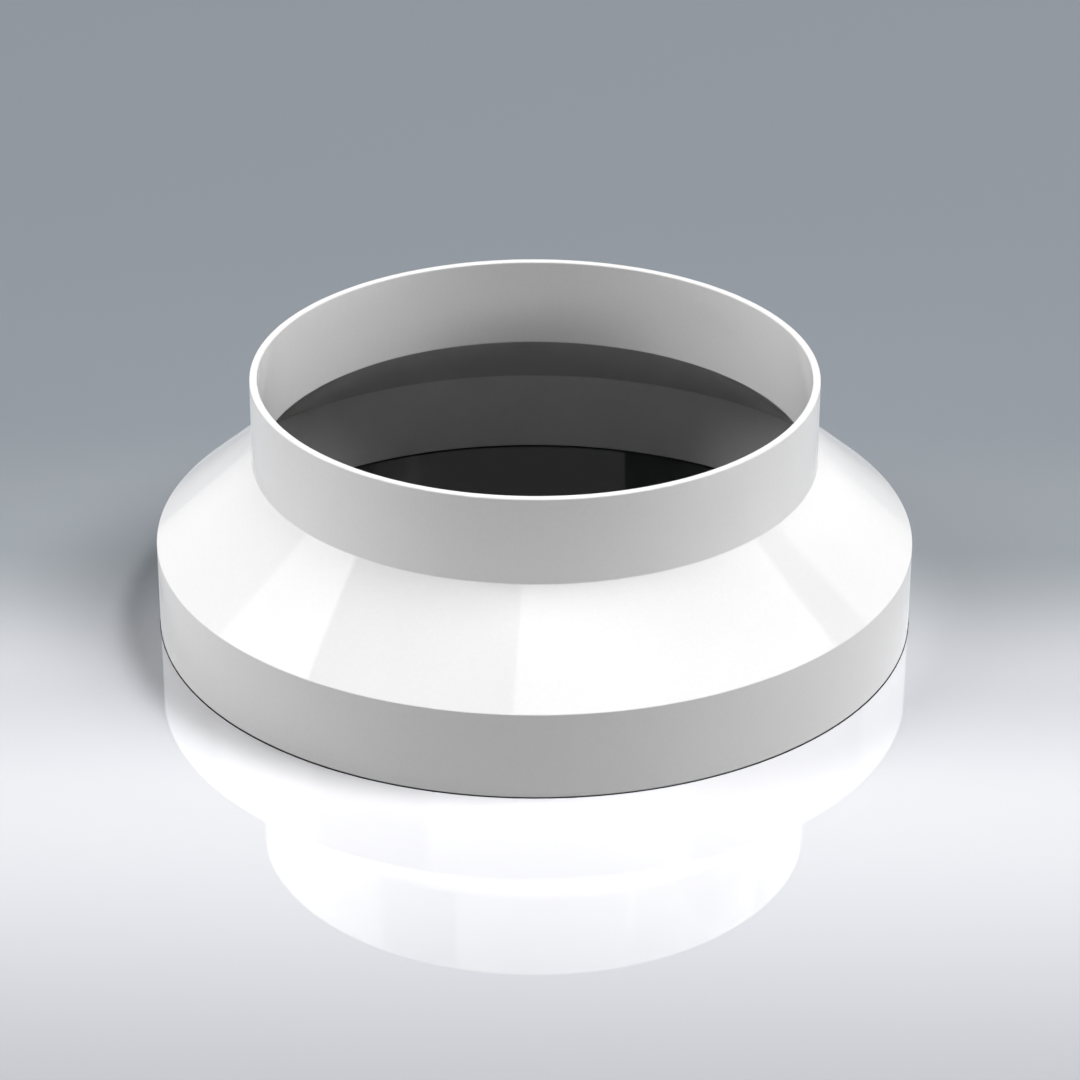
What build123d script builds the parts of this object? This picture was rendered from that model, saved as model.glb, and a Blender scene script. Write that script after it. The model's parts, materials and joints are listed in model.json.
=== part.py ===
from build123d import *
import os

# Round duct reducer, moulded in one piece from gloss white plastic.
# It stands on its large end, with +Z up the duct axis and z = 0 at the large rim.

# Sizes in millimetres
large_diameter = 198.0
large_collar_height = 23.25
small_diameter = 147.0
small_collar_height = 23.25
shoulder_height = 22.0
wall = 2.0
bend_radius = 0.4
rim_chamfer = 0.3

shoulder_top = large_collar_height + shoulder_height
overall_height = shoulder_top + small_collar_height

with BuildPart() as reducer_body:
    # Half section of the moulding: two straight collars joined by a conical shoulder
    with BuildSketch(Plane.XZ) as section:
        with BuildLine():
            outer_skin = Polyline(
                (large_diameter / 2, 0),
                (large_diameter / 2, large_collar_height),
                (small_diameter / 2, shoulder_top),
                (small_diameter / 2, overall_height),
            )
            # The inner skin runs parallel to the outer one, so the wall is even round both bends
            offset(outer_skin, amount=wall, kind=Kind.INTERSECTION, side=Side.LEFT)
        make_face()
        # The mould leaves a small radius at each bend, and a broken edge lets a duct slide over each rim
        bends = section.vertices().sort_by(Axis.Y)[2:-2]
        fillet(bends, bend_radius)
        levels = section.vertices().group_by(Axis.Y)
        chamfer(levels[0] + levels[-1], rim_chamfer)
    revolve(axis=Axis.Z)

reducer_body.part.label = "reducer_body"

os.makedirs("parts", exist_ok=True)
export_step(reducer_body.part, "parts/reducer_body.step")
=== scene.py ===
import json
import math

import bmesh
import bpy
from mathutils import Matrix, Vector


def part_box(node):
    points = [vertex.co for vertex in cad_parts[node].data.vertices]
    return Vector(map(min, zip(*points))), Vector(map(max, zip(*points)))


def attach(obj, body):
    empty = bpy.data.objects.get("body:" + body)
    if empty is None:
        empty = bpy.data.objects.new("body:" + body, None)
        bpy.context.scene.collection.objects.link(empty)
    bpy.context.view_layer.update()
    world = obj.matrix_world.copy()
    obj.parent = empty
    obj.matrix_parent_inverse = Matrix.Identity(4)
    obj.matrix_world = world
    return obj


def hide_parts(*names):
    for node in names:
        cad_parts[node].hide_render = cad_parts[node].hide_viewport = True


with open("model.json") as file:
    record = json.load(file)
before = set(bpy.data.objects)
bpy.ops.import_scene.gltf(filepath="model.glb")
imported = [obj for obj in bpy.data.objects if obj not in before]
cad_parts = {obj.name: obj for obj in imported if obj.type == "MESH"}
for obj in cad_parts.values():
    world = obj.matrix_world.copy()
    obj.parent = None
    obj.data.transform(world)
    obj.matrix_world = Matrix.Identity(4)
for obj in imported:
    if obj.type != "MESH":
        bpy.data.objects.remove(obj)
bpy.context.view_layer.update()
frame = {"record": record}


# Reducer moulding
# The whole fitting is one injection moulding: a wide collar to stand on, a conical shoulder and
# a narrow collar, all with the same wall. It is gloss white ABS from a polished steel mould, and
# ducts slide over the two collars, so nothing is fixed to it.
collars = {mount["name"]: mount["dims"] for mount in frame["record"]["mounts"]}
foot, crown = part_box("reducer_body")

MM = 0.001
large_radius = collars["large_collar"]["r_mm"] * MM
small_radius = collars["small_collar"]["r_mm"] * MM
wall = large_radius - collars["large_bore"]["r_mm"] * MM
overall_height = crown.z - foot.z
collar_height = 23.25 * MM
shoulder_foot = collar_height
shoulder_top = overall_height - collar_height
bend_radius = 0.4 * MM
rim_round = 0.5 * MM
steps_round = 256
bend_segments = 4
rim_segments = 3

# The wall is even, so the inner bends sit a little lower than the outer ones
shoulder_turn = math.atan2(large_radius - small_radius, shoulder_top - shoulder_foot)
inner_drop = wall * math.tan(shoulder_turn / 2)
half_section = (
    (large_radius, 0),
    (large_radius, shoulder_foot),
    (small_radius, shoulder_top),
    (small_radius, overall_height),
    (small_radius - wall, overall_height),
    (small_radius - wall, shoulder_top - inner_drop),
    (large_radius - wall, shoulder_foot - inner_drop),
    (large_radius - wall, 0),
)

shape = bmesh.new()
corners = [shape.verts.new((radius, 0, height)) for radius, height in half_section]
outline = [shape.edges.new(pair) for pair in zip(corners, corners[1:] + corners[:1])]
bmesh.ops.spin(
    shape,
    geom=corners + outline,
    axis=(0, 0, 1),
    cent=(0, 0, 0),
    angle=math.tau,
    steps=steps_round,
    use_merge=True,
)
bmesh.ops.recalc_face_normals(shape, faces=shape.faces)


def circles(low, high):
    """Edges that run round the axis, between two heights."""
    same = 0.001 * MM
    found = []
    for edge in shape.edges:
        start, end = (vert.co for vert in edge.verts)
        level = abs(start.z - end.z) < same
        round_axis = abs(start.xy.length - end.xy.length) < same
        if level and round_axis and low < start.z < high:
            found.append(edge)
    return found


bends = circles(wall, overall_height - wall)
rims = circles(-wall, wall) + circles(overall_height - wall, overall_height + wall)
for edges, offset, segments in (
    (bends, bend_radius * math.tan(shoulder_turn / 2), bend_segments),
    (rims, rim_round, rim_segments),
):
    bmesh.ops.bevel(
        shape,
        geom=edges,
        offset=offset,
        offset_type="OFFSET",
        affect="EDGES",
        segments=segments,
        profile=0.5,
        material=-1,
        clamp_overlap=False,
    )
for face in shape.faces:
    face.smooth = True
mesh = bpy.data.meshes.new("reducer_moulding")
shape.to_mesh(mesh)
shape.free()
reducer = bpy.data.objects.new("reducer_moulding", mesh)
bpy.context.scene.collection.objects.link(reducer)
# The flat walls keep their own normals, so only the small bends shade as curved
flats_first = reducer.modifiers.new("flat walls first", "WEIGHTED_NORMAL")
flats_first.mode = "FACE_AREA"


def linear(hex_colour):
    """An sRGB hex colour as the linear colour that a shader takes."""
    channels = [int(hex_colour[i : i + 2], 16) / 255 for i in (1, 3, 5)]
    return (*[c / 12.92 if c <= 0.04045 else ((c + 0.055) / 1.055) ** 2.4 for c in channels], 1)


def add_node(tree, kind, values=None, links=None, **settings):
    """A node with its settings, its sockets' values and the sockets that feed it."""
    added = tree.nodes.new(kind)
    for name, setting in settings.items():
        setattr(added, name, setting)
    for socket, value in (values or {}).items():
        added.inputs[socket].default_value = value
    for socket, source in (links or {}).items():
        tree.links.new(source, added.inputs[socket])
    return added


def new_material(name):
    """A named material with an empty node tree and its output."""
    material = bpy.data.materials.new(name)
    material.use_nodes = True
    material.node_tree.nodes.clear()
    return material, material.node_tree


# ABS moulded against polished steel: a clean near-white with a clear gloss. The eye finds a
# barely uneven, finely mottled white, an uneven gloss and the shallow waves of a shrunk skin.
cloud_size = 35 * MM
mottle_size = 0.8 * MM
gloss_patch = 9 * MM
skin_wave = 6 * MM
wave_depth = 0.0008 * MM
abs_gloss, tree = new_material("gloss_moulded_abs")
place = add_node(tree, "ShaderNodeTexCoord").outputs["Object"]
clouds = add_node(
    tree,
    "ShaderNodeTexNoise",
    {"Scale": 1 / cloud_size, "Detail": 2, "Roughness": 0.5},
    {"Vector": place},
)
mottle = add_node(
    tree,
    "ShaderNodeTexNoise",
    {"Scale": 1 / mottle_size, "Detail": 2, "Roughness": 0.6},
    {"Vector": place},
)
both = add_node(
    tree,
    "ShaderNodeMath",
    links={0: clouds.outputs["Fac"], 1: mottle.outputs["Fac"]},
    operation="ADD",
)
unevenness = add_node(
    tree,
    "ShaderNodeMath",
    {1: 0.5},
    {0: both.outputs["Value"]},
    operation="MULTIPLY",
)
white = add_node(
    tree,
    "ShaderNodeMix",
    {6: linear("#E8E7E7"), 7: linear("#F5F4F4")},
    {"Factor": unevenness.outputs["Value"]},
    data_type="RGBA",
)
patches = add_node(
    tree,
    "ShaderNodeTexNoise",
    {"Scale": 1 / gloss_patch, "Detail": 3, "Roughness": 0.6},
    {"Vector": place},
)
gloss = add_node(
    tree,
    "ShaderNodeMapRange",
    {"From Min": 0.3, "From Max": 0.7, "To Min": 0.03, "To Max": 0.055},
    {"Value": patches.outputs["Fac"]},
)
waves = add_node(
    tree,
    "ShaderNodeTexNoise",
    {"Scale": 1 / skin_wave, "Detail": 1, "Roughness": 0.4},
    {"Vector": place},
)
skin = add_node(
    tree,
    "ShaderNodeBump",
    {"Strength": 1, "Distance": wave_depth},
    {"Height": waves.outputs["Fac"]},
)
surface = add_node(
    tree,
    "ShaderNodeBsdfPrincipled",
    {"IOR": 1.53},
    {
        "Base Color": white.outputs[2],
        "Roughness": gloss.outputs["Result"],
        "Normal": skin.outputs["Normal"],
    },
)
add_node(tree, "ShaderNodeOutputMaterial", links={"Surface": surface.outputs["BSDF"]})

mesh.materials.append(abs_gloss)
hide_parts("reducer_body")
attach(reducer, "root")


# Studio floor
# A sheet of glossy plastic whose colour is painted light fall-off: near white just in front of the
# part, greyer towards the front edge and grey-blue behind it. Its high index gives the clear
# mirror image of a coated sheet.
def flat_piece(name, shape, material):
    """A stage piece of that mesh and material."""
    flat_mesh = bpy.data.meshes.new(name)
    shape.to_mesh(flat_mesh)
    shape.free()
    flat_mesh.materials.append(material)
    piece = bpy.data.objects.new(name, flat_mesh)
    bpy.context.scene.collection.objects.link(piece)
    return piece


def seen(tree):
    """A socket that is 1 for rays from the camera, from gloss and through glass, and else 0."""
    rays = add_node(tree, "ShaderNodeLightPath").outputs
    direct = rays["Is Camera Ray"]
    for other in ("Is Glossy Ray", "Is Transmission Ray"):
        links = {0: direct, 1: rays[other]}
        direct = add_node(tree, "ShaderNodeMath", links=links, operation="MAXIMUM").outputs[0]
    return direct


sheet_half_width = 3.0
ramp_start, ramp_end = -0.3, 0.3
# Stops of painted light fall-off along the sheet's depth, brightest just in front of the part
painted_falloff_colours = (
    (-0.25, "#C5C7CD"),
    (-0.10, "#F6F6FA"),
    (-0.04, "#E0E1E6"),
    (0.035, "#A3A9AE"),
    (0.12, "#969CA3"),
    (0.28, "#939AA1"),
)
painted_falloff_sheet, tree = new_material("gloss_sheet_with_painted_falloff")
place = add_node(tree, "ShaderNodeTexCoord").outputs["Object"]
depth = add_node(tree, "ShaderNodeSeparateXYZ", links={"Vector": place}).outputs["Y"]
share = add_node(
    tree,
    "ShaderNodeMapRange",
    {"From Min": ramp_start, "From Max": ramp_end},
    {"Value": depth},
)
ramp = add_node(tree, "ShaderNodeValToRGB", links={"Fac": share.outputs["Result"]})
stops = ramp.color_ramp.elements
stops.remove(stops[1])
for index, (at, colour) in enumerate(painted_falloff_colours):
    position = (at - ramp_start) / (ramp_end - ramp_start)
    stop = stops[0] if index == 0 else stops.new(position)
    stop.position = position
    stop.color = linear(colour)
ramp.color_ramp.interpolation = "EASE"
# The painted light fall-off is only for the eye and for mirrors, and the light that the sheet
# throws back on the part is even
sheet_colour = add_node(
    tree,
    "ShaderNodeMix",
    {6: linear("#8E8E8D")},
    {"Factor": seen(tree), 7: ramp.outputs["Color"]},
    data_type="RGBA",
)
surface = add_node(
    tree,
    "ShaderNodeBsdfPrincipled",
    {"IOR": 3.4, "Roughness": 0.02},
    {"Base Color": sheet_colour.outputs[2]},
)
add_node(tree, "ShaderNodeOutputMaterial", links={"Surface": surface.outputs["BSDF"]})
shape = bmesh.new()
bmesh.ops.create_grid(shape, x_segments=1, y_segments=1, size=sheet_half_width)
studio_floor = flat_piece("studio_floor", shape, painted_falloff_sheet)


# Dark disc of painted shade
# A thin black gloss round under the open foot, put there as painted shade, so that the inside of
# the duct falls into shade. It is a hair wider than the foot, so it paints a fine dark line round
# that.
disc_radius = large_radius + 0.15 * MM
disc_segments = 128
disc_lift = 0.02 * MM
painted_shade_black, tree = new_material("painted_shade_black_gloss")
surface = add_node(
    tree,
    "ShaderNodeBsdfPrincipled",
    {"Base Color": linear("#0A0B0C"), "Roughness": 0.06, "IOR": 1.5},
)
add_node(tree, "ShaderNodeOutputMaterial", links={"Surface": surface.outputs["BSDF"]})
shape = bmesh.new()
bmesh.ops.create_circle(shape, cap_ends=True, segments=disc_segments, radius=disc_radius)
bmesh.ops.translate(shape, vec=(0, 0, disc_lift), verts=shape.verts)
# The black round is painted shade under the foot
flat_piece("painted_shade_disc", shape, painted_shade_black)


# Studio lamps
# Softboxes hang over the part and at its sides, with low strips in front for the walls and the
# upper inside, and behind for the walls' ends. The sheet has two softboxes of its own, the
# stronger on the right, so the part's shadow lies on its left. Gloss sees the cards instead.
part_only = bpy.data.collections.new("part_only")
part_only.objects.link(reducer)
sheet_only = bpy.data.collections.new("sheet_only")
sheet_only.objects.link(studio_floor)


def facing(azimuth, elevation, distance, roll=0):
    """A stand on that side of the part: its place, and two axes that make a lamp face the part."""
    azimuth = math.radians(azimuth)
    elevation = math.radians(elevation)
    toward = Vector(
        (
            math.cos(elevation) * math.cos(azimuth),
            math.cos(elevation) * math.sin(azimuth),
            math.sin(elevation),
        )
    )
    level = Vector((-math.sin(azimuth), math.cos(azimuth), 0))
    across = Matrix.Rotation(math.radians(roll), 3, toward) @ level
    return toward * distance, across, toward.cross(across)


def softbox(name, stand, width, height, radiance, receivers):
    """A rectangular lamp for those receivers alone, as bright as radiance times a white."""
    centre, across, up = stand
    lamp = bpy.data.lights.new(name, "AREA")
    lamp.shape = "RECTANGLE"
    lamp.size = width
    lamp.size_y = height
    lamp.energy = radiance * math.pi * width * height
    box = bpy.data.objects.new(name, lamp)
    turn = Matrix((across, up, across.cross(up))).transposed()
    box.matrix_world = Matrix.Translation(centre) @ turn.to_4x4()
    box.visible_camera = False
    bpy.context.scene.collection.objects.link(box)
    box.light_linking.receiver_collection = receivers
    return box


for name, stand, width, height, radiance, receivers in (
    ("overhead_softbox", facing(0, 83, 2.0), 1.0, 1.0, 5.2, part_only),
    ("left_softbox", facing(180, 46, 2.0), 1.0, 1.0, 8.4, part_only),
    ("right_softbox", facing(0, 50, 2.0), 1.0, 1.0, 7.2, part_only),
    ("front_left_strip", facing(-130, 12, 2.0), 1.2, 0.3, 4.0, part_only),
    ("front_right_strip", facing(-42, 12, 2.0), 1.2, 0.3, 6.4, part_only),
    ("back_left_strip", facing(150, 7, 2.0), 1.2, 0.3, 5.2, part_only),
    ("back_right_strip", facing(30, 7, 2.0), 1.2, 0.3, 6.6, part_only),
    ("sheet_right_softbox", facing(-8, 58, 8.0), 4.0, 4.0, 15.8, sheet_only),
    ("sheet_left_softbox", facing(186, 44, 8.0), 4.0, 4.0, 6.0, sheet_only),
):
    softbox(name, stand, width, height, radiance, receivers).visible_glossy = False


# Reflector cards
# White cards that only the part's gloss sees. The cone mirrors the left and right ones as bright
# bands, with a greyer one between, and the far ones at its sides. The front card whitens the walls
# in the floor's mirror image, and the walls mirror the one that lies round the foot.
def card(name, stand, span_across, span_up, radiance, spread):
    """A card over those spans from its stand, which dims at a slant if its spread is under 180."""
    centre, across, up = stand
    middle = centre + across * sum(span_across) / 2 + up * sum(span_up) / 2
    width = span_across[1] - span_across[0]
    height = span_up[1] - span_up[0]
    box = softbox(name, (middle, across, up), width, height, radiance, part_only)
    box.data.spread = math.radians(spread)
    box.visible_diffuse = False


left_stand = facing(155.2, 37.5, 0.8, roll=9.7)
right_stand = facing(-23.1, 52.8, 0.8, roll=-81.6)
far_right_stand = facing(24.8, 37.5, 0.8, roll=-9.7)
front_stand = facing(-90, 27.14, 1.798)
foot_stand = (Vector((0, 0, 0.01 * MM)), Vector((0, 1, 0)), Vector((1, 0, 0)))
# A spread under 180 degrees dims a card towards its far end, so that the part doesn't show an edge
for name, stand, span_across, span_up, radiance, spread in (
    ("left_card", left_stand, (0.083, 0.683), (-0.353, 0.147), 2.4, 180),
    ("right_card", right_stand, (-0.528, 0.272), (-0.402, 0.428), 1.7, 180),
    ("far_left_card", left_stand, (-2.5, 0.083), (-1.2, 0.147), 0.5, 120),
    ("far_right_card", far_right_stand, (0, 2.5), (-1.2, 0.147), 0.4, 120),
    ("front_card", front_stand, (-0.9, 2.2), (-0.45, 0.45), 2.5, 180),
    ("foot_card", foot_stand, (-0.4, 0.4), (-0.4, 0.4), 0.4, 150),
):
    card(name, stand, span_across, span_up, radiance, spread)


# Studio air
# The room round the part, dark for the light it gives. Its backdrop is pale at its foot and darker
# above, so that the floor mirrors the part clearly.
backdrop_foot, backdrop_head = 0.1, 0.33
world = bpy.data.worlds.new("studio_air")
bpy.context.scene.world = world
world.use_nodes = True
tree = world.node_tree
direction = add_node(tree, "ShaderNodeTexCoord").outputs["Generated"]
climb = add_node(tree, "ShaderNodeSeparateXYZ", links={"Vector": direction}).outputs["Z"]
darkness = add_node(
    tree,
    "ShaderNodeMapRange",
    {"From Min": backdrop_foot, "From Max": backdrop_head},
    {"Value": climb},
    interpolation_type="SMOOTHSTEP",
)
backdrop = add_node(
    tree,
    "ShaderNodeMix",
    {6: linear("#9DA3AA"), 7: linear("#5C6166")},
    {"Factor": darkness.outputs["Result"]},
    data_type="RGBA",
)
air_colour = add_node(
    tree,
    "ShaderNodeMix",
    {6: linear("#101214")},
    {"Factor": seen(tree), 7: backdrop.outputs[2]},
    data_type="RGBA",
)
tree.links.new(air_colour.outputs[2], tree.nodes["Background"].inputs["Color"])


# Camera
# It looks down on the part from the front, as in the photograph, from about a metre away and
# through a long lens. Its angles are in radians.
camera_place = Vector((0, -0.89086, 0.47953))
camera_pitch = 0.4767
camera_yaw = 0.0016
camera_roll = 0.0034
focal_length = 126.82
sensor_width = 36
lens = bpy.data.cameras.new("studio_camera")
lens.lens = focal_length
lens.sensor_width = sensor_width
camera = bpy.data.objects.new("studio_camera", lens)
forward = Vector(
    (
        math.sin(camera_yaw) * math.cos(camera_pitch),
        math.cos(camera_yaw) * math.cos(camera_pitch),
        -math.sin(camera_pitch),
    )
)
level = Vector((math.cos(camera_yaw), -math.sin(camera_yaw), 0))
upright = level.cross(forward)
right = level * math.cos(camera_roll) + upright * math.sin(camera_roll)
up = upright * math.cos(camera_roll) - level * math.sin(camera_roll)
camera.matrix_world = (
    Matrix.Translation(camera_place) @ Matrix((right, up, -forward)).transposed().to_4x4()
)
bpy.context.scene.collection.objects.link(camera)
bpy.context.scene.camera = camera
bpy.context.scene.view_settings.view_transform = "Standard"
